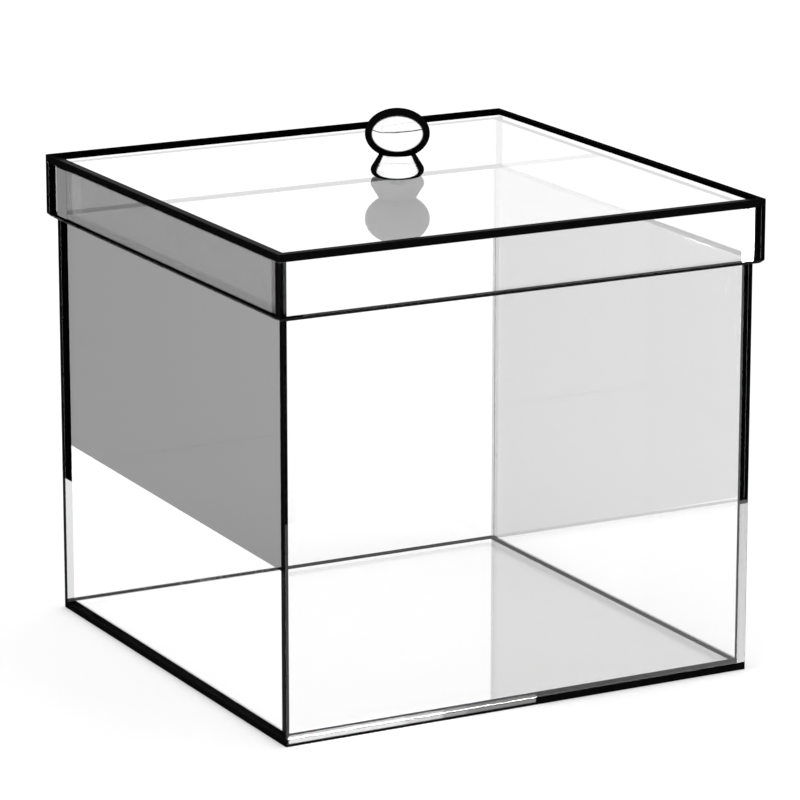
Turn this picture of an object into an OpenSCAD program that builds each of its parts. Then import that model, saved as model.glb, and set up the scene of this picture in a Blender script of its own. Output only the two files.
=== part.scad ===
// Clear acrylic display box with a slip-over lid and a turned knob.
// Millimetres, +Z up, origin at the centre of the base panel's underside.
// The front wall faces -Y and the left wall faces -X.

/* [Box] */
// Outside width of the box, left to right
box_w = 270; // [150:5:400]
// Outside depth of the box, front to back
box_d = 270; // [150:5:400]
// Height of the box without its lid
box_h = 249; // [100:1:400]
// Thickness of the four wall sheets
wall_t = 4; // [2:0.5:8]
// Thickness of the base sheet
base_t = 4; // [2:0.5:8]

/* [Lid] */
// Thickness of the lid's top sheet
lid_t = 4; // [2:0.5:8]
// Thickness of the four skirt sheets
skirt_t = 4; // [2:0.5:8]
// Depth of the skirt below the top sheet
skirt_h = 30; // [15:1:80]
// Clearance on each side between the walls and the skirt
lid_gap = 0.4; // [0.2:0.1:1]

/* [Knob] */
// Width of the flattened ball
ball_w = 34; // [26:1:50]
// Height that the flattened ball would have if it were whole
ball_h = 26; // [20:1:40]
// Width of the neck, where ball and foot meet
neck_w = 18.8; // [12:0.2:24]
// Height of the neck above the lid
neck_h = 12; // [9:0.5:18]
// Width of the foot at its widest
foot_w = 28; // [26:1:44]
// Radius that rounds the foot's lower edge
foot_round = 3.5; // [1:0.5:5]
// Diameter of the spigot cemented into the lid
spigot_d = 8; // [4:0.5:10]
// Clearance round the spigot, filled with cement
spigot_gap = 0.05; // [0.02:0.01:0.1]

/* [Quality] */
// Segments round the knob
knob_segments = 96; // [48:8:160]
// Steps along each curve of the knob's outline
curve_steps = 24; // [8:1:40]

/* [Hidden] */
// How far a cut runs past the faces it goes through
overrun = 1;

// The side walls stand between the front and back walls, on the base
wall_h = box_h - base_t;
side_wall_d = box_d - 2 * wall_t;

// The lid goes over the walls with the clearance all round
lid_inner_w = box_w + 2 * lid_gap;
lid_inner_d = box_d + 2 * lid_gap;
lid_w = lid_inner_w + 2 * skirt_t;
lid_d = lid_inner_d + 2 * skirt_t;
skirt_z = box_h - skirt_h;
lid_top_z = box_h + lid_t;

// The knob's ball sits so low that its outline passes through the neck
ball_z = neck_h + ball_h / 2 * sqrt(1 - pow(neck_w / ball_w, 2));
neck_angle = -acos(neck_w / ball_w);

// The foot's flank is the tangent from the neck to the rounded lower edge
foot_centre = [foot_w / 2 - foot_round, foot_round];
to_neck = [neck_w / 2, neck_h] - foot_centre;
flank_angle = atan2(to_neck.y, to_neck.x) - acos(foot_round / norm(to_neck));

// Points along an ellipse from one angle to another
function arc_points(centre, radii, from_angle, to_angle) = [
    for (i = [0 : curve_steps])
        let (a = from_angle + (to_angle - from_angle) * i / curve_steps)
        centre + [radii.x * cos(a), radii.y * sin(a)]
];

// A sheet of the given size, centred across X and Y on a place, standing on its height
module sheet(size, place) {
    translate([place.x - size.x / 2, place.y - size.y / 2, place.z])
        cube(size);
}

// A front or back wall as wide as the box: side is -1 in front and 1 behind
module wide_wall(side) {
    sheet([box_w, wall_t, wall_h], [0, side * (box_d - wall_t) / 2, base_t]);
}

// A side wall between the front and back walls: side is -1 on the left and 1 on the right
module side_wall(side) {
    sheet([wall_t, side_wall_d, wall_h], [side * (box_w - wall_t) / 2, 0, base_t]);
}

// A front or back skirt as wide as the lid
module wide_skirt(side) {
    sheet([lid_w, skirt_t, skirt_h], [0, side * (lid_inner_d + skirt_t) / 2, skirt_z]);
}

// A side skirt between the front and back skirts
module side_skirt(side) {
    sheet([skirt_t, lid_inner_d, skirt_h], [side * (lid_inner_w + skirt_t) / 2, 0, skirt_z]);
}

// Base sheet that the walls stand on
module base_panel() {
    color("gainsboro", 0.5)
        sheet([box_w, box_d, base_t], [0, 0, 0]);
}

module front_wall() {
    color("aliceblue", 0.4)
        wide_wall(-1);
}

module back_wall() {
    color("aliceblue", 0.4)
        wide_wall(1);
}

module left_wall() {
    color("lightgray", 0.4)
        side_wall(-1);
}

module right_wall() {
    color("lightgray", 0.4)
        side_wall(1);
}

// Lid's top sheet, which covers the skirts, drilled for the knob's spigot
module lid_top() {
    color("aliceblue", 0.4)
        difference() {
            sheet([lid_w, lid_d, lid_t], [0, 0, box_h]);
            translate([0, 0, box_h - overrun])
                cylinder(d = spigot_d + 2 * spigot_gap, h = lid_t + 2 * overrun, $fn = knob_segments);
        }
}

module lid_front_skirt() {
    color("white", 0.4)
        wide_skirt(-1);
}

module lid_back_skirt() {
    color("white", 0.4)
        wide_skirt(1);
}

module lid_left_skirt() {
    color("lightgray", 0.4)
        side_skirt(-1);
}

module lid_right_skirt() {
    color("lightgray", 0.4)
        side_skirt(1);
}

// Knob turned in one piece: spigot, flared foot, neck and flattened ball
module knob() {
    color("white", 0.6)
        translate([0, 0, lid_top_z])
            rotate_extrude($fn = knob_segments)
                polygon(concat(
                    [[0, -lid_t], [spigot_d / 2, -lid_t], [spigot_d / 2, 0]],
                    arc_points(foot_centre, [foot_round, foot_round], -90, flank_angle),
                    arc_points([0, ball_z], [ball_w, ball_h] / 2, neck_angle, 90)
                ));
}

base_panel();
front_wall();
back_wall();
left_wall();
right_wall();
lid_top();
lid_front_skirt();
lid_back_skirt();
lid_left_skirt();
lid_right_skirt();
knob();
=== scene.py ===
import math

import bpy
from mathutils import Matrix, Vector


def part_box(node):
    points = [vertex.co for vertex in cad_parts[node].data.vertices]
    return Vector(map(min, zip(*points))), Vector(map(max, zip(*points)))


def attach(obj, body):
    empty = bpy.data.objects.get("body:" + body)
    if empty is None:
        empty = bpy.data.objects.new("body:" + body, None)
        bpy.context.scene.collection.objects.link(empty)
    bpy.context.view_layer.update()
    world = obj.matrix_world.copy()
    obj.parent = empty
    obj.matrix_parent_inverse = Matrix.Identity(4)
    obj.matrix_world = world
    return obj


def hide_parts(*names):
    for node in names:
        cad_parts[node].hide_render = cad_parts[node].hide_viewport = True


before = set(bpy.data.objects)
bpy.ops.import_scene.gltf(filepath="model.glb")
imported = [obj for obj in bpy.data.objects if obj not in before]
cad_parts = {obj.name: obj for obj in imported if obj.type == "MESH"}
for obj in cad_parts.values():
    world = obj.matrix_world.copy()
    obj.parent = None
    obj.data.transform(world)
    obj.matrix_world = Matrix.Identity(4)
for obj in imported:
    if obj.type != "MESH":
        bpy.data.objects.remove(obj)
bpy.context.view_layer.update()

scene = bpy.context.scene
acrossX, acrossY, acrossZ = 0, 1, 2
print("frame loaded")

# The box and the lid as wholes, and the planes where their sheets meet
boxLow, boxHigh = Vector(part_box("base_panel")[0]), Vector(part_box("front_wall")[1])
boxHigh.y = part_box("back_wall")[1].y
lidLow, lidHigh = Vector(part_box("lid_front_skirt")[0]), Vector(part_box("lid_top")[1])
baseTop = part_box("base_panel")[1].z
boxTop = boxHigh.z
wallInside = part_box("right_wall")[0].x  # inner face of each wall, as far out on all four sides
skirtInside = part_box("lid_right_skirt")[0].x


def newMaterial(name):
    material = bpy.data.materials.new(name)
    material.use_nodes = True
    material.node_tree.nodes.clear()
    return material, material.node_tree


def addNode(tree, kind, inputs=None, **settings):
    made = tree.nodes.new(kind)
    for setting, value in settings.items():
        setattr(made, setting, value)
    for socket, value in (inputs or {}).items():
        if isinstance(value, bpy.types.NodeSocket):
            tree.links.new(value, made.inputs[socket])
        else:
            made.inputs[socket].default_value = value
    return made


# Camera

camera = {
    "place": Vector((-1.0997, -2.0625, 0.7369)),
    "turn": math.radians(28.10),  # clockwise from +Y
    "tilt": math.radians(14.515),  # below the horizon
    "lens": 204.9,
    "sensor": 36.0,
    "farthest": 50.0,
}


def addCamera():
    turned = (math.pi / 2 - camera["tilt"], 0.0, -camera["turn"])
    bpy.ops.object.camera_add(location=camera["place"], rotation=turned)
    made = bpy.context.object
    made.name = "camera"
    made.data.sensor_width = camera["sensor"]
    made.data.lens = camera["lens"]
    made.data.clip_end = camera["farthest"]
    scene.camera = made


# Studio: white all round, a pale floor and one soft light overhead

studio = {
    "sky": 1.06,
    "floorSize": 12.0,
    "floorColour": (0.96, 0.96, 0.96, 1.0),
    "lightPlace": (-0.6, -0.4, 2.6),
    "lightSize": 2.4,
    "lightPower": 10.0,
    # how often light may pass or turn, as many clear faces stand behind one another
    "clearBounces": 48,
    "allBounces": 24,
    "mirrorBounces": 12,
    "refractedBounces": 16,
}


def addStudio():
    world = bpy.data.worlds.new("softWhiteSky")
    world.use_nodes = True
    sky = world.node_tree.nodes["Background"]
    sky.inputs["Color"].default_value = (1.0, 1.0, 1.0, 1.0)
    sky.inputs["Strength"].default_value = studio["sky"]
    scene.world = world
    scene.view_settings.view_transform = "Standard"
    scene.cycles.transparent_max_bounces = studio["clearBounces"]
    scene.cycles.max_bounces = studio["allBounces"]
    scene.cycles.glossy_bounces = studio["mirrorBounces"]
    scene.cycles.transmission_bounces = studio["refractedBounces"]

    bpy.ops.mesh.primitive_plane_add(size=studio["floorSize"], location=(0, 0, 0))
    floor = bpy.context.object
    floor.name = "paleFloor"
    floor.data.materials.append(palePaper("palePaper"))

    bpy.ops.object.light_add(type="AREA", location=studio["lightPlace"])
    light = bpy.context.object
    light.name = "softLight"
    light.data.size = studio["lightSize"]
    light.data.energy = studio["lightPower"]


def palePaper(name):
    material, tree = newMaterial(name)
    paper = addNode(tree, "ShaderNodeBsdfDiffuse", {"Color": studio["floorColour"]})
    addNode(tree, "ShaderNodeOutputMaterial", {"Surface": paper.outputs[0]})
    return material


# Flags: cards that only show in gloss and give the clear sheets their dark, grey and light reflections, as
# painted reflections and highlights

flags = {
    "standOff": 0.0066,  # between the lid's sides and the cards that stand by them
    "postStep": 0.0004,  # how much nearer than the large cards the left posts stand
    "overEdge": 0.0043,  # how far the cards by the lid's top edge rise above it
    "edgeGap": 0.0012,  # between the lid's sides and the cards just above its edges
    "floorLift": 0.0004,
    "firstMirror": 1.5,  # glossy depth from which on a card is no longer seen
    "anySheet": 0.5,  # transparent depth from which on a sheet stands before the face
    # heights
    "sheenFront": 0.0831,  # where the card that darkens the left wall ends, at its front and back
    "sheenBack": 0.0881,
    "underSkirt": 0.2110,  # from here up the wall behind the skirt mirrors the card too
    "skirt": (0.2190, 0.2452),  # between these the skirt is mirrored
    "underLid": 0.2471,  # where the front skirt's mirror image meets the lid's
    "leftBackFoot": 0.067,  # where the dark part of each band starts
    "frontLeftFoot": 0.112,
    "rightBandTurn": (0.087, 0.089),  # the right band is light below these and dark above
    # places along the left side, front to back
    "leftSpan": (-0.130, 0.170),
    "skirtFrontBand": -0.119,
    "patch": (0.1269, 0.1384),
    "skirtBackBand": 0.1395,
    "leftBackBand": 0.1462,
    # places along the front, left to right
    "frontSpan": (-0.137, 0.147),
    "frontLeftBand": -0.123,
    "skirtGlowStart": 0.1295,
    "rightBand": 0.1369,
    # how light the cards that aren't black look
    "skirtShade": 0.20,
    "patchShade": 0.36,
    "matShade": 0.23,
    "backLineShade": 0.07,
    "bandGlow": 6.9,
    "skirtGlow": 22.0,
    # on the floor
    "matFront": 0.093,  # height on the right wall where its grey starts in front
    "matRise": 0.0023,  # how far above the skirt's foot that grey ends
    "foot": 0.0095,  # width of the dark frame round the base
    "backLineX": (-0.275, -0.139),
    "backLineY": (0.1415, 0.1475),
    # low strip lights in front
    "edgeStandOff": 0.0030,  # from the front wall
    "stripHeights": (0.0, 0.0031, 0.0048),
    # from one x to another, how light the base's front edge looks
    "stripLights": (
        (-0.1318, -0.066, 0.80), (-0.066, -0.044, 0.62), (-0.044, -0.030, 0.35), (-0.030, 0.0102, 0.23)),
    "edgeGain": 312.0,  # strength for that, as an edge mirrors little light
    "wallGain": 13.0,
}


def cardMaterial(name, shade, behindSheets):
    # painted reflection: shines in the first mirror only, and lets light through once that is mirrored
    # again
    material, tree = newMaterial(name)
    tone = (min(shade, 1.0),) * 3 + (1.0,)
    glow = addNode(tree, "ShaderNodeEmission", {"Color": tone, "Strength": max(shade, 1.0)})
    through = addNode(tree, "ShaderNodeBsdfTransparent", {"Color": (1.0, 1.0, 1.0, 1.0)})
    path = addNode(tree, "ShaderNodeLightPath").outputs
    hidden = addNode(tree, "ShaderNodeMath", {
        0: path["Glossy Depth"], 1: flags["firstMirror"]}, operation="GREATER_THAN").outputs[0]
    if behindSheets is not None:
        # only in faces that stand behind other sheets, or only in those with nothing before them
        compared = "LESS_THAN" if behindSheets else "GREATER_THAN"
        unseen = addNode(tree, "ShaderNodeMath", {
            0: path["Transparent Depth"], 1: flags["anySheet"]}, operation=compared).outputs[0]
        hidden = addNode(tree, "ShaderNodeMath", {0: hidden, 1: unseen}, operation="MAXIMUM").outputs[0]
    mix = addNode(tree, "ShaderNodeMixShader", {"Fac": hidden, 1: glow.outputs[0], 2: through.outputs[0]})
    addNode(tree, "ShaderNodeOutputMaterial", {"Surface": mix.outputs[0]})
    return material


def addCard(name, corners, shade, behindSheets=None):
    bpy.ops.object.select_all(action="DESELECT")
    bpy.ops.mesh.primitive_plane_add(size=1)
    card = bpy.context.object
    card.name = name
    a, b, c, d = corners
    for vertex, corner in zip(card.data.vertices, (a, b, d, c)):
        vertex.co = corner
    card.data.materials.append(cardMaterial(name, shade, behindSheets))
    card.visible_camera = False
    card.visible_diffuse = False
    card.visible_transmission = False
    card.visible_volume_scatter = False
    card.visible_shadow = False


def standingCard(name, axis, place, along, up, shade, behindSheets=None):
    # a card square to X or Y at a place, from one value to another along the wall and in height
    other = acrossY if axis == acrossX else acrossX
    corners = []
    for run, height in ((0, 0), (1, 0), (1, 1), (0, 1)):
        corner = Vector((0, 0, up[height]))
        corner[axis] = place
        corner[other] = along[run]
        corners.append(corner)
    addCard(name, corners, shade, behindSheets)


def floorCard(name, corners, shade, behindSheets=None):
    addCard(name, [Vector((x, y, flags["floorLift"])) for x, y in corners], shade, behindSheets)


def mirrored(point, axis):
    # where the camera's view lands on the floor once a face square to this axis turns it
    onward = point - camera["place"]
    onward[axis] = -onward[axis]
    landed = point + onward * (point.z / -onward.z)
    return landed.x, landed.y


def addFlags():
    rise = lidHigh.z + flags["overEdge"]
    beside = lidLow.x - flags["standOff"]  # as far out in front as on the left
    nearer = beside + flags["postStep"]
    skirt, underSkirt, underLid = flags["skirt"], flags["underSkirt"], flags["underLid"]

    front, back = flags["leftSpan"]
    addCard("leftWallCard", [
        Vector((beside, front, flags["sheenFront"])), Vector((beside, back, flags["sheenBack"])),
        Vector((beside, back, underSkirt)), Vector((beside, front, underSkirt)),
    ], 0.0, behindSheets=False)
    standingCard("underSkirtCard", acrossX, beside, (front, back), (underSkirt, skirt[0]), 0.0)
    standingCard("leftSkirtCard", acrossX, beside, (front, back), skirt, flags["skirtShade"])
    standingCard("leftLidCard", acrossX, beside, (front, back), (skirt[1], rise), 0.0)
    standingCard("leftBackPost", acrossX, nearer, (flags["leftBackBand"], back),
                 (flags["leftBackFoot"], rise), 0.0, behindSheets=False)
    standingCard("skirtBackPost", acrossX, nearer, (flags["skirtBackBand"], back), (skirt[0], rise), 0.0)
    standingCard("skirtPatch", acrossX, nearer, flags["patch"], skirt, flags["patchShade"])
    standingCard("leftFrontPost", acrossX, nearer, (front, flags["skirtFrontBand"]), (skirt[0], rise), 0.0)

    leftEnd, rightEnd = flags["frontSpan"]
    rightBand, (lightTop, darkFoot) = flags["rightBand"], flags["rightBandTurn"]
    standingCard("frontLeftPost", acrossY, beside, (leftEnd, flags["frontLeftBand"]),
                 (flags["frontLeftFoot"], rise), 0.0, behindSheets=False)
    standingCard("frontRightPost", acrossY, beside, (rightBand, rightEnd),
                 (darkFoot, rise), 0.0, behindSheets=False)
    standingCard("frontRightGlow", acrossY, beside, (rightBand, rightEnd),
                 (0.0, lightTop), flags["bandGlow"], behindSheets=False)
    standingCard("frontSkirtGlow", acrossY, beside, (flags["skirtGlowStart"], rightBand),
                 (skirt[0], underLid), flags["skirtGlow"], behindSheets=False)
    standingCard("frontLidCard", acrossY, beside, (leftEnd, rightEnd),
                 (underLid, rise), 0.0, behindSheets=False)

    for side in (-1, 1):
        edge = side * (lidHigh.x + flags["edgeGap"])
        along = (-abs(edge), abs(edge))
        standingCard("lidEdgeCardX", acrossX, edge, along, (lidHigh.z, rise), 0.0)
        standingCard("lidEdgeCardY", acrossY, edge, along, (lidHigh.z, rise), 0.0)

    # painted reflection: the mat behind the box that greys the right wall between its foot and the lid
    matTop = lidLow.z + flags["matRise"]
    floorCard("backMat", [
        mirrored(Vector((wallInside, -wallInside, flags["matFront"])), acrossX),
        mirrored(Vector((wallInside, wallInside, baseTop)), acrossX),
        mirrored(Vector((wallInside, wallInside, matTop)), acrossX),
        mirrored(Vector((wallInside, -wallInside, matTop)), acrossX),
    ], flags["matShade"], behindSheets=True)

    # painted shade: a black frame on the floor round the base, seen only mirrored in its edges
    foot, outer = boxHigh.x, boxHigh.x + flags["foot"]
    for side in (-1, 1):
        floorCard("footCardX", [
            (side * foot, -outer), (side * outer, -outer), (side * outer, outer), (side * foot, outer),
        ], 0.0)
        floorCard("footCardY", [
            (-foot, side * foot), (foot, side * foot), (foot, side * outer), (-foot, side * outer),
        ], 0.0)
    # the base's back line again, where the left wall mirrors the floor over it
    (left, right), (lineFront, lineBack) = flags["backLineX"], flags["backLineY"]
    floorCard("backLineCard", [
        (left, lineFront), (right, lineFront), (right, lineBack), (left, lineBack),
    ], flags["backLineShade"])
    # painted highlight: low strip lights that the left half of the base's front edge mirrors, fading to
    # the right
    before = boxLow.y - flags["edgeStandOff"]
    low, middle, high = flags["stripHeights"]
    for left, right, lightness in flags["stripLights"]:
        standingCard("edgeStripLight", acrossY, before, (left, right), (low, middle),
                     lightness * flags["edgeGain"])
        standingCard("wallStripLight", acrossY, before, (left, right), (middle, high),
                     lightness * flags["wallGain"])


addCamera()
addStudio()
addFlags()
print("camera, floor, light and flags set")


# Clear acrylic, cemented joints and polished edges

acrylic = {
    "faceShare": 0.035,  # light mirrored head on by a clear face
    "edgeShare": 0.003,  # and by a dark edge
    "risesFrom": 0.10,  # facing value where the mirrored share starts to grow
    "risesTo": 0.62,
    "wallSlant": 0.67,  # added at a slant by the walls' outer faces and the polished edges
    "innerSlant": 0.49,  # by the walls' inner faces
    "lidSlant": 0.62,  # by the lid's outer faces
    "behindSlant": 0.03,  # by the skirts' inner faces
    "sawnSlant": 0.004,  # by sawn edges
    "glanceShare": 0.12,  # added again at a glancing view
    "glancePower": 6.0,
    "fromInside": 0.05,  # part of all that where the light meets the face from within the sheet
    "paintedGreyShare": 0.50,  # painted grey shade of a wall's inner face at a slant, when it is seen in another sheet
    # flat grey of painted reflections: a wall's inner face and the knob, seen in a mirror
    "paintedReflectionGrey": (0.14, 0.14, 0.14, 1.0),
    "refraction": 1.49,
    "faceRoughness": (0.0, 0.03),
    "faceRelief": (0.04, 0.0001),
    "scratchLevels": (0.62, 0.70),  # noise values where a scratch starts and is full
    "edgeRoughness": (0.05, 0.16),
    "edgeRelief": (0.06, 0.0001),
    # near-black of the edges: painted shade, a little lighter along the streaks
    "paintedEdgeShade": (0.001, 0.005),
    "endTone": (0.93, 0.93, 0.93, 1.0),  # of an end that is clear from inside the sheet
    "jointTone": (0.96, 0.97, 0.97, 1.0),
    "bubbleTone": (0.55, 0.56, 0.56, 1.0),
    "bubbleLevels": (0.10, 0.14),  # distance from a bubble's middle where it ends
    "patchLevels": (0.52, 0.58),  # noise values where bubbles start to show
}


def mirrorShare(tree, headOn, slantShare):
    # share of light that a face mirrors: low head on, more at a slant, most at a glance
    facing = addNode(tree, "ShaderNodeLayerWeight", {"Blend": 0.5}).outputs["Facing"]
    slant = addNode(tree, "ShaderNodeMapRange", {
        "Value": facing, "From Min": acrylic["risesFrom"], "From Max": acrylic["risesTo"],
        "To Min": headOn, "To Max": headOn + slantShare,
    }, interpolation_type="SMOOTHSTEP")
    steep = addNode(tree, "ShaderNodeMath", {0: facing, 1: acrylic["glancePower"]}, operation="POWER")
    share = addNode(tree, "ShaderNodeMath", {
        0: steep.outputs[0], 1: acrylic["glanceShare"], 2: slant.outputs["Result"],
    }, operation="MULTIPLY_ADD").outputs[0]
    # a sheet mirrors once, on the face that the light meets first
    within = addNode(tree, "ShaderNodeNewGeometry").outputs["Backfacing"]
    kept = addNode(tree, "ShaderNodeMapRange", {
        "Value": within, "To Min": 1.0, "To Max": acrylic["fromInside"]}).outputs["Result"]
    return addNode(tree, "ShaderNodeMath", {0: share, 1: kept}, operation="MULTIPLY").outputs[0]


def hairlines(tree, turn, stretch):
    # fine straight scratches in one direction, 0 where the face is clean
    place = addNode(tree, "ShaderNodeTexCoord").outputs["Object"]
    laid = addNode(tree, "ShaderNodeMapping", {
        "Vector": place, "Rotation": (turn, turn * 0.7, turn), "Scale": stretch})
    grain = addNode(tree, "ShaderNodeTexNoise", {
        "Vector": laid.outputs[0], "Scale": 9.0, "Detail": 4.0, "Roughness": 0.6, "Distortion": 0.25})
    low, high = acrylic["scratchLevels"]
    return addNode(tree, "ShaderNodeMapRange", {
        "Value": grain.outputs[0], "From Min": low, "From Max": high}).outputs["Result"]


def clearFace(name, slantShare, paintedGreyShare=0.0):
    material, tree = newMaterial(name)
    scratches = addNode(tree, "ShaderNodeMath", {
        0: hairlines(tree, 0.5, (2.0, 90.0, 14.0)), 1: hairlines(tree, -0.9, (90.0, 2.0, 10.0)),
    }, operation="MAXIMUM").outputs[0]
    place = addNode(tree, "ShaderNodeTexCoord").outputs["Object"]
    wiped = addNode(tree, "ShaderNodeTexNoise", {"Vector": place, "Scale": 16.0, "Detail": 3.0})
    marks = addNode(tree, "ShaderNodeMath", {
        0: scratches, 1: wiped.outputs[0]}, operation="MULTIPLY").outputs[0]
    low, high = acrylic["faceRoughness"]
    roughness = addNode(tree, "ShaderNodeMapRange", {"Value": marks, "To Min": low, "To Max": high})
    strength, depth = acrylic["faceRelief"]
    relief = addNode(tree, "ShaderNodeBump", {
        "Height": marks, "Strength": strength, "Distance": depth}).outputs[0]
    through = addNode(tree, "ShaderNodeBsdfTransparent", {"Color": (1.0, 1.0, 1.0, 1.0)})
    shine = addNode(tree, "ShaderNodeBsdfGlossy", {
        "Color": (1.0, 1.0, 1.0, 1.0), "Roughness": roughness.outputs["Result"], "Normal": relief})
    surface = addNode(tree, "ShaderNodeMixShader", {
        "Fac": mirrorShare(tree, acrylic["faceShare"], slantShare),
        1: through.outputs[0], 2: shine.outputs[0]}).outputs[0]
    if paintedGreyShare:
        # painted shade: seen in another sheet's mirror, a face at a slant is mixed with a flat grey
        facing = addNode(tree, "ShaderNodeLayerWeight", {"Blend": 0.5}).outputs["Facing"]
        slant = addNode(tree, "ShaderNodeMapRange", {
            "Value": facing, "From Min": acrylic["risesFrom"], "From Max": acrylic["risesTo"],
            "To Max": paintedGreyShare}, interpolation_type="SMOOTHSTEP").outputs["Result"]
        glossyRay = addNode(tree, "ShaderNodeLightPath").outputs["Is Glossy Ray"]
        paintedReflectionGrey = addNode(tree, "ShaderNodeMath", {0: slant, 1: glossyRay}, operation="MULTIPLY")
        grey = addNode(tree, "ShaderNodeBsdfDiffuse", {"Color": acrylic["paintedReflectionGrey"]})
        surface = addNode(tree, "ShaderNodeMixShader", {
            "Fac": paintedReflectionGrey.outputs[0], 1: surface, 2: grey.outputs[0]}).outputs[0]
    addNode(tree, "ShaderNodeOutputMaterial", {"Surface": surface})
    return material


def polishedEdge(name, slantShare, clearInside=False):
    # painted shade: near-black in place of the dark surroundings that clear sheet edges show, with the
    # fine streaks that a scraper leaves
    material, tree = newMaterial(name)
    place = addNode(tree, "ShaderNodeTexCoord").outputs["Object"]
    streaks = addNode(tree, "ShaderNodeTexNoise", {
        "Vector": place, "Scale": 420.0, "Detail": 3.0, "Roughness": 0.55}).outputs[0]
    low, high = acrylic["paintedEdgeShade"]
    tone = addNode(tree, "ShaderNodeMapRange", {"Value": streaks, "To Min": low, "To Max": high})
    low, high = acrylic["edgeRoughness"]
    roughness = addNode(tree, "ShaderNodeMapRange", {"Value": streaks, "To Min": low, "To Max": high})
    strength, depth = acrylic["edgeRelief"]
    relief = addNode(tree, "ShaderNodeBump", {
        "Height": streaks, "Strength": strength, "Distance": depth}).outputs[0]
    body = addNode(tree, "ShaderNodeBsdfDiffuse", {"Color": tone.outputs["Result"]})
    shine = addNode(tree, "ShaderNodeBsdfGlossy", {
        "Color": (1.0, 1.0, 1.0, 1.0), "Roughness": roughness.outputs["Result"], "Normal": relief})
    surface = addNode(tree, "ShaderNodeMixShader", {
        "Fac": mirrorShare(tree, acrylic["edgeShare"], slantShare),
        1: body.outputs[0], 2: shine.outputs[0]}).outputs[0]
    if clearInside:
        # this end is painted dark as shade from outside and lets the light through from inside the sheet
        inside = addNode(tree, "ShaderNodeNewGeometry").outputs["Backfacing"]
        through = addNode(tree, "ShaderNodeBsdfTransparent", {"Color": acrylic["endTone"]})
        surface = addNode(tree, "ShaderNodeMixShader", {
            "Fac": inside, 1: surface, 2: through.outputs[0]}).outputs[0]
    addNode(tree, "ShaderNodeOutputMaterial", {"Surface": surface})
    return material


def cementedFace(name):
    # clear where the cement wetted the sheet, with a few small bubbles
    material, tree = newMaterial(name)
    place = addNode(tree, "ShaderNodeTexCoord").outputs["Object"]
    cells = addNode(tree, "ShaderNodeTexVoronoi", {"Vector": place, "Scale": 260.0})
    low, high = acrylic["bubbleLevels"]
    bubble = addNode(tree, "ShaderNodeMapRange", {
        "Value": cells.outputs["Distance"], "From Min": low, "From Max": high})
    patches = addNode(tree, "ShaderNodeTexNoise", {"Vector": place, "Scale": 30.0, "Detail": 2.0})
    low, high = acrylic["patchLevels"]
    sparse = addNode(tree, "ShaderNodeMapRange", {
        "Value": patches.outputs[0], "From Min": low, "From Max": high, "To Min": 1.0, "To Max": 0.0})
    clean = addNode(tree, "ShaderNodeMath", {
        0: bubble.outputs["Result"], 1: sparse.outputs["Result"]}, operation="MAXIMUM")
    tone = addNode(tree, "ShaderNodeMix", {
        "Factor": clean.outputs[0], 6: acrylic["bubbleTone"], 7: acrylic["jointTone"]}, data_type="RGBA")
    through = addNode(tree, "ShaderNodeBsdfTransparent", {"Color": tone.outputs[2]})
    addNode(tree, "ShaderNodeOutputMaterial", {"Surface": through.outputs[0]})
    return material


finishes = {
    "box": clearFace("clearWallFace", acrylic["wallSlant"]),
    "lid": clearFace("clearLidFace", acrylic["lidSlant"]),
    "edge": polishedEdge("shadePaintedPolishedEdge", acrylic["wallSlant"]),
    "joint": cementedFace("cementedJoint"),
    "farEdge": polishedEdge("clearPolishedEdge", acrylic["wallSlant"], clearInside=True),
    "chamfer": polishedEdge("shadePaintedSawnEdge", acrylic["sawnSlant"]),
    "inside": clearFace("clearInnerFace", acrylic["innerSlant"], acrylic["paintedGreyShare"]),
    "behind": clearFace("clearSkirtBack", acrylic["behindSlant"]),
}


# Sheets

cuts = {
    "hair": 0.00002,  # each sheet is this much smaller all round, so that no two faces share a plane
    "arris": 0.00025,  # the free edges are broken this much
    "rim": 0.0019,  # chamfer on the lid's lower edges
    "foot": 0.0005,  # chamfer filled with cement along a wall's inner foot
    "same": 0.0003,  # places nearer than this count as one
    "shortest": 0.003,  # edges shorter than this aren't bevelled
    "square": 0.99,  # a normal with more than this along an axis faces along it
    "drill": 0.02,
}

sheets = [
    {"name": "base_sheet", "node": "base_panel", "body": "box", "thin": acrossZ, "inner": 1,
     "crossed": (acrossX, acrossY), "clearEnds": (acrossX, acrossY)},
    {"name": "front_sheet", "node": "front_wall", "body": "box", "thin": acrossY, "inner": 1,
     "crossed": (acrossX,), "clearEnds": ()},
    {"name": "back_sheet", "node": "back_wall", "body": "box", "thin": acrossY, "inner": -1,
     "crossed": (acrossX,), "clearEnds": (acrossX,)},
    {"name": "left_sheet", "node": "left_wall", "body": "box", "thin": acrossX, "inner": 1,
     "crossed": (), "clearEnds": ()},
    {"name": "right_sheet", "node": "right_wall", "body": "box", "thin": acrossX, "inner": -1,
     "crossed": (), "clearEnds": (acrossY,)},
    {"name": "lid_sheet", "node": "lid_top", "body": "lid", "thin": acrossZ, "inner": -1,
     "crossed": (acrossX, acrossY), "clearEnds": ()},
    {"name": "front_strip", "node": "lid_front_skirt", "body": "lid", "thin": acrossY, "inner": 1,
     "crossed": (acrossX,), "clearEnds": ()},
    {"name": "back_strip", "node": "lid_back_skirt", "body": "lid", "thin": acrossY, "inner": -1,
     "crossed": (acrossX,), "clearEnds": (), "wettedTop": True},
    {"name": "left_strip", "node": "lid_left_skirt", "body": "lid", "thin": acrossX, "inner": 1,
     "crossed": (), "clearEnds": ()},
    {"name": "right_strip", "node": "lid_right_skirt", "body": "lid", "thin": acrossX, "inner": -1,
     "crossed": (), "clearEnds": (), "wettedTop": True},
]


def near(a, b):
    return abs(a - b) < cuts["same"]


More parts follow.
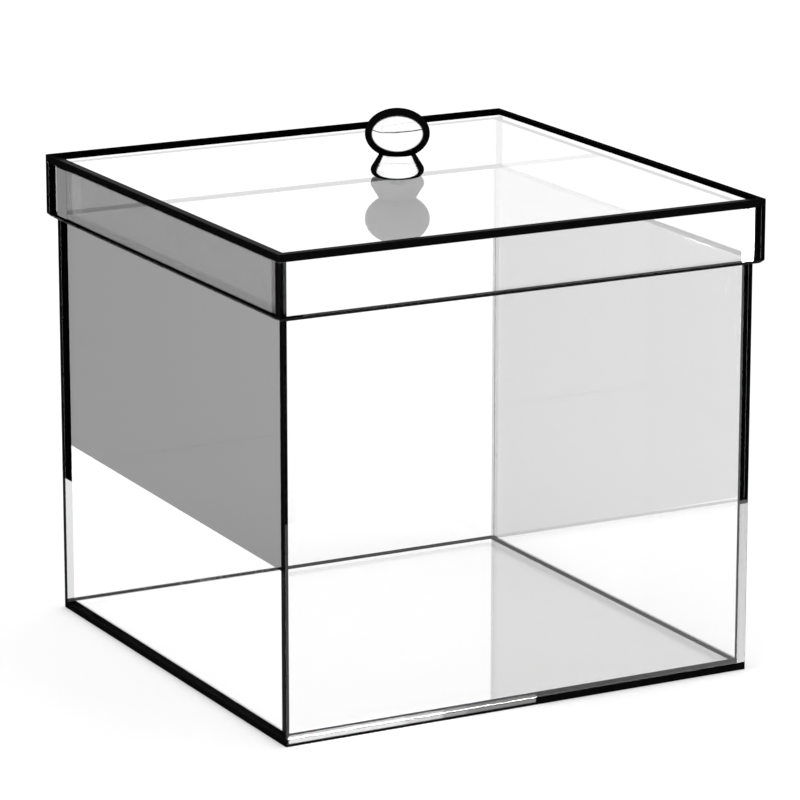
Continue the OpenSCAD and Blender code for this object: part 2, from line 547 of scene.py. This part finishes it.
def bevelWhere(piece, wanted, size, segments):
    # bevels the edges whose middle is where the function says
    bpy.ops.object.mode_set(mode="EDIT")
    bpy.ops.mesh.select_all(action="DESELECT")
    bpy.ops.object.mode_set(mode="OBJECT")
    found = False
    for edge in piece.data.edges:
        a, b = (piece.data.vertices[i].co for i in edge.vertices)
        edge.select = (a - b).length > cuts["shortest"] and wanted((a + b) / 2, a - b)
        found = found or edge.select
    if found:
        bpy.ops.object.mode_set(mode="EDIT")
        bpy.ops.mesh.select_mode(type="EDGE")
        bpy.ops.mesh.bevel(offset=size, segments=segments, affect="EDGES")
        bpy.ops.object.mode_set(mode="OBJECT")


def selectFaces(piece, wanted):
    bpy.ops.object.mode_set(mode="EDIT")
    bpy.ops.mesh.select_mode(type="FACE")
    bpy.ops.mesh.select_all(action="DESELECT")
    bpy.ops.object.mode_set(mode="OBJECT")
    for face in piece.data.polygons:
        face.select = wanted(face)


def cutSheet(sheet):
    low, high = (Vector(corner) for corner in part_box(sheet["node"]))
    hair = Vector((cuts["hair"],) * 3)
    low, high = low + hair, high - hair
    bpy.ops.object.select_all(action="DESELECT")
    bpy.ops.mesh.primitive_cube_add(size=1, location=(low + high) / 2, scale=high - low)
    piece = bpy.context.object
    piece.name = sheet["name"]
    bpy.ops.object.transform_apply(location=True, rotation=False, scale=True)
    return piece


def breakEdges(piece, sheet):
    bodyLow, bodyHigh = (boxLow, boxHigh) if sheet["body"] == "box" else (lidLow, lidHigh)
    standing = sheet["thin"] != acrossZ

    def lidRim(middle, run):
        return near(middle.z, lidLow.z) and abs(run.z) < cuts["same"]

    def innerFoot(middle, run):
        inside = abs(middle[sheet["thin"]]) < wallInside + cuts["same"]
        return near(middle.z, baseTop) and inside and abs(run[sheet["thin"]]) < cuts["same"]

    def free(middle, run):
        touching = sum(near(middle[i], bodyLow[i]) or near(middle[i], bodyHigh[i]) for i in range(3))
        return touching > 1 or near(middle.z, boxTop) and standing and sheet["body"] == "box"

    if standing and sheet["body"] == "lid":
        bevelWhere(piece, lidRim, cuts["rim"], 1)
    if standing and sheet["body"] == "box":
        bevelWhere(piece, innerFoot, cuts["foot"], 1)
    bevelWhere(piece, free, cuts["arris"], 2)


def markJoints(piece, sheet):
    # cuts the faces along the lines where the next sheets are cemented on
    line = wallInside if sheet["body"] == "box" else skirtInside
    bpy.ops.object.mode_set(mode="EDIT")
    for axis in sheet["crossed"]:
        for side in (-1, 1):
            square = Vector((0, 0, 0))
            square[axis] = 1
            bpy.ops.mesh.select_all(action="SELECT")
            bpy.ops.mesh.bisect(plane_co=square * side * line, plane_no=square)
    bpy.ops.object.mode_set(mode="OBJECT")


def finishSheet(piece, sheet):
    behind = "inside" if sheet["body"] == "box" else "behind"
    used = (sheet["body"], "edge", "joint", "farEdge", "chamfer", behind)
    for finish in used:
        piece.data.materials.append(finishes[finish])
    thin, square = sheet["thin"], cuts["square"]
    line = wallInside if sheet["body"] == "box" else skirtInside
    for face in piece.data.polygons:
        flat = abs(face.normal[thin]) > square
        aside = any(abs(face.center[axis]) > line for axis in sheet["crossed"])
        finish = sheet["body"]
        if face.center.xy.length < knob["spigot"]:
            finish = finish if flat else "joint"
        elif flat and face.normal[thin] * sheet["inner"] > 0:
            finish = "joint" if aside else finish if thin == acrossZ else behind
        elif flat:
            # painted shade: seen from above, the lid's top over its cemented skirts gets the dark
            # sawn-edge finish
            finish = "chamfer" if aside and sheet["name"] == "lid_sheet" else finish
        elif any(face.normal[axis] > square for axis in sheet["clearEnds"]):
            finish = "farEdge"
        elif sheet.get("wettedTop") and face.normal.z > square:
            finish = "joint"
        elif thin == acrossZ or abs(face.normal.z) < square:
            finish = "chamfer"
        else:
            finish = "edge"  # only a standing sheet's upper and lower ends
        face.material_index = used.index(finish)


def drillLid(piece):
    bpy.ops.object.select_all(action="DESELECT")
    bpy.ops.mesh.primitive_cylinder_add(vertices=knob["boreAround"],
                                        radius=knob["spigot"] / 2 + knob["spigotGap"],
                                        depth=cuts["drill"], location=(0, 0, boxTop))
    drill = bpy.context.object
    bpy.context.view_layer.objects.active = piece
    bore = piece.modifiers.new("spigotHole", "BOOLEAN")
    bore.object = drill
    bore.solver = "EXACT"
    bpy.ops.object.modifier_apply(modifier=bore.name)
    bpy.data.objects.remove(drill)
    piece.select_set(True)


# Knob, as turned: the same curves as the model's, in metres

knob = {
    "ballWidth": 0.034, "ballHeight": 0.026,
    "neckWidth": 0.0188, "neckHeight": 0.012,
    "footWidth": 0.028, "footRound": 0.0035,
    "spigot": 0.008, "spigotGap": 0.00005,
    "around": 128, "boreAround": 96, "footSteps": 14, "ballSteps": 40,
    "crown": 0.00001,  # radius of the last loop, which closes the top
    "merge": 0.000002,
    "smoothTo": math.radians(35),
    "rings": 700.0,  # turning marks
    "ringRelief": (0.02, 0.00005),
    "ringRoughness": (0.0, 0.012),
    "rimFrom": 0.34, "rimTo": 0.39,  # facing values where the painted dark outline starts and is full
    "paintedOutlineTone": (0.003, 0.003, 0.003, 1.0), "rimRoughness": 0.1,
}


def knobOutline():
    # radius and height above the lid, from the spigot's end to the crown
    ball, neck, foot = knob["ballWidth"] / 2, knob["neckWidth"] / 2, knob["footWidth"] / 2
    tall, turn = knob["ballHeight"] / 2, knob["footRound"]
    lowest = -math.acos(neck / ball)
    ballMiddle = knob["neckHeight"] - tall * math.sin(lowest)
    toNeck = Vector((neck - (foot - turn), knob["neckHeight"] - turn))
    flank = math.atan2(toNeck.y, toNeck.x) - math.acos(turn / toNeck.length)
    points = [(knob["spigot"] / 2, boxTop - lidHigh.z), (knob["spigot"] / 2, 0.0)]
    for i in range(knob["footSteps"] + 1):
        angle = -math.pi / 2 + (flank + math.pi / 2) * i / knob["footSteps"]
        points.append((foot - turn + turn * math.cos(angle), turn + turn * math.sin(angle)))
    for i in range(knob["ballSteps"] + 1):
        angle = lowest + (math.pi / 2 - lowest) * i / knob["ballSteps"]
        points.append((max(ball * math.cos(angle), knob["crown"]), ballMiddle + tall * math.sin(angle)))
    return points


def turnedAcrylic(name):
    material, tree = newMaterial(name)
    place = addNode(tree, "ShaderNodeTexCoord").outputs["Object"]
    rings = addNode(tree, "ShaderNodeTexWave", {
        "Vector": place, "Scale": knob["rings"], "Distortion": 0.4, "Detail": 2.0,
    }, wave_type="BANDS", bands_direction="Z")
    strength, depth = knob["ringRelief"]
    relief = addNode(tree, "ShaderNodeBump", {
        "Height": rings.outputs["Fac"], "Strength": strength, "Distance": depth}).outputs[0]
    low, high = knob["ringRoughness"]
    roughness = addNode(tree, "ShaderNodeMapRange", {
        "Value": rings.outputs["Fac"], "To Min": low, "To Max": high}).outputs["Result"]
    glass = addNode(tree, "ShaderNodeBsdfGlass", {
        "IOR": acrylic["refraction"], "Roughness": roughness, "Normal": relief})
    # painted shade: a near-black gloss where the knob's surface turns away from view draws its dark
    # outline
    rim = addNode(tree, "ShaderNodeBsdfGlossy", {
        "Color": knob["paintedOutlineTone"], "Roughness": knob["rimRoughness"]})
    facing = addNode(tree, "ShaderNodeLayerWeight", {"Blend": 0.5}).outputs["Facing"]
    edge = addNode(tree, "ShaderNodeMapRange", {
        "Value": facing, "From Min": knob["rimFrom"], "From Max": knob["rimTo"]}).outputs["Result"]
    within = addNode(tree, "ShaderNodeNewGeometry").outputs["Backfacing"]
    outline = addNode(tree, "ShaderNodeMath", {0: edge, 1: within}, operation="SUBTRACT", use_clamp=True)
    mix = addNode(tree, "ShaderNodeMixShader", {
        "Fac": outline.outputs[0], 1: glass.outputs[0], 2: rim.outputs[0]})
    # painted reflection: seen in a mirror from outside, the thick knob turns into a plain grey shape
    paintedReflectionTone = addNode(tree, "ShaderNodeBsdfDiffuse", {"Color": acrylic["paintedReflectionGrey"]})
    path = addNode(tree, "ShaderNodeLightPath").outputs
    fromOutside = addNode(tree, "ShaderNodeMath", {
        0: path["Is Glossy Ray"], 1: within}, operation="SUBTRACT", use_clamp=True).outputs[0]
    onlyMirrored = addNode(tree, "ShaderNodeMath", {
        0: fromOutside, 1: path["Is Transmission Ray"]}, operation="SUBTRACT", use_clamp=True)
    surface = addNode(tree, "ShaderNodeMixShader", {
        "Fac": onlyMirrored.outputs[0], 1: mix.outputs[0], 2: paintedReflectionTone.outputs[0]})
    addNode(tree, "ShaderNodeOutputMaterial", {"Surface": surface.outputs[0]})
    return material


def turnKnob():
    outline = knobOutline()
    radius, height = outline[0]
    bpy.ops.object.select_all(action="DESELECT")
    bpy.ops.mesh.primitive_circle_add(vertices=knob["around"], radius=radius, fill_type="NGON",
                                      location=(0, 0, lidHigh.z + height))
    piece = bpy.context.object
    piece.name = "turned_knob"
    bpy.ops.object.transform_apply(location=True)
    bpy.ops.object.mode_set(mode="EDIT")
    bpy.ops.mesh.select_all(action="SELECT")
    for nextRadius, nextHeight in outline[1:]:
        bpy.ops.mesh.extrude_region_move(TRANSFORM_OT_translate={"value": (0, 0, nextHeight - height)})
        grow = nextRadius / radius
        bpy.ops.transform.resize(value=(grow, grow, 1), center_override=(0, 0, lidHigh.z + nextHeight))
        radius, height = nextRadius, nextHeight
    bpy.ops.mesh.select_all(action="SELECT")
    bpy.ops.mesh.remove_doubles(threshold=knob["merge"])
    bpy.ops.mesh.normals_make_consistent(inside=False)
    bpy.ops.object.mode_set(mode="OBJECT")
    bpy.ops.object.shade_smooth_by_angle(angle=knob["smoothTo"])
    piece.data.materials.append(turnedAcrylic("turnedClearAcrylic"))
    piece.data.materials.append(finishes["joint"])
    for face in piece.data.polygons:
        # cement hides the spigot
        face.material_index = 1 if face.center.z < lidHigh.z - cuts["hair"] else 0
    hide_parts("knob")
    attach(piece, "lid")


for sheet in sheets:
    piece = cutSheet(sheet)
    breakEdges(piece, sheet)
    if sheet["name"] == "lid_sheet":
        drillLid(piece)
    markJoints(piece, sheet)
    finishSheet(piece, sheet)
    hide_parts(sheet["node"])
    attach(piece, sheet["body"])
print("sheets cut, drilled and cemented")

turnKnob()
print("knob turned")


# Bead of cement along the walls' inner foot, near-black as painted shade in the corner between base and
# walls

bead = {
    "size": 0.0015,  # up the walls and out onto the base
    "sunk": 0.00001,  # how far it reaches into the sheets, less than the gap between them
    "merge": 0.00001,
    # near-black: painted shade in the corner between base and walls
    "tone": (0.004, 0.015),
    "roughness": (0.25, 0.45),
    "ripples": 240.0,
    "relief": (0.3, 0.0002),
    "gloss": 0.1,
}


def shadePaintedCement(name):
    material, tree = newMaterial(name)
    place = addNode(tree, "ShaderNodeTexCoord").outputs["Object"]
    ripples = addNode(tree, "ShaderNodeTexNoise", {
        "Vector": place, "Scale": bead["ripples"], "Detail": 2.0}).outputs[0]
    low, high = bead["tone"]
    tone = addNode(tree, "ShaderNodeMapRange", {"Value": ripples, "To Min": low, "To Max": high})
    low, high = bead["roughness"]
    roughness = addNode(tree, "ShaderNodeMapRange", {"Value": ripples, "To Min": low, "To Max": high})
    strength, depth = bead["relief"]
    relief = addNode(tree, "ShaderNodeBump", {
        "Height": ripples, "Strength": strength, "Distance": depth}).outputs[0]
    cured = addNode(tree, "ShaderNodeBsdfPrincipled", {
        "Base Color": tone.outputs["Result"], "Roughness": roughness.outputs["Result"],
        "Normal": relief, "IOR": acrylic["refraction"], "Specular IOR Level": bead["gloss"]})
    addNode(tree, "ShaderNodeOutputMaterial", {"Surface": cured.outputs[0]})
    return material


def runBead():
    # a frame that fills the corner between base and walls, its inner top loop pulled down to the base
    out, inset, low = wallInside + bead["sunk"], bead["size"], baseTop + bead["sunk"]
    bpy.ops.object.select_all(action="DESELECT")
    bpy.ops.mesh.primitive_cube_add(size=1, location=(0, 0, low + inset / 2),
                                    scale=(2 * out, 2 * out, inset))
    piece = bpy.context.object
    piece.name = "cement_bead"
    bpy.ops.object.transform_apply(location=True, rotation=False, scale=True)
    for top in (True, False):
        selectFaces(piece, lambda face: abs(face.normal.z) > cuts["square"] and (face.normal.z > 0) == top)
        bpy.ops.object.mode_set(mode="EDIT")
        bpy.ops.mesh.inset(thickness=inset, depth=0)
        bpy.ops.mesh.delete(type="FACE")
        bpy.ops.object.mode_set(mode="OBJECT")
    bpy.ops.object.mode_set(mode="EDIT")
    bpy.ops.mesh.select_all(action="DESELECT")
    bpy.ops.object.mode_set(mode="OBJECT")
    for vertex in piece.data.vertices:
        vertex.select = abs(vertex.co.x) < out - inset / 2 and vertex.co.z > low + inset / 2
    bpy.ops.object.mode_set(mode="EDIT")
    bpy.ops.mesh.select_mode(type="VERT")
    bpy.ops.transform.translate(value=(0, 0, -inset))
    bpy.ops.mesh.select_all(action="SELECT")
    bpy.ops.mesh.remove_doubles(threshold=bead["merge"])
    bpy.ops.mesh.normals_make_consistent(inside=False)
    bpy.ops.object.mode_set(mode="OBJECT")
    piece.data.materials.append(shadePaintedCement("shadePaintedCement"))
    piece.visible_glossy = False
    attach(piece, "box")


runBead()
print("cement bead run")
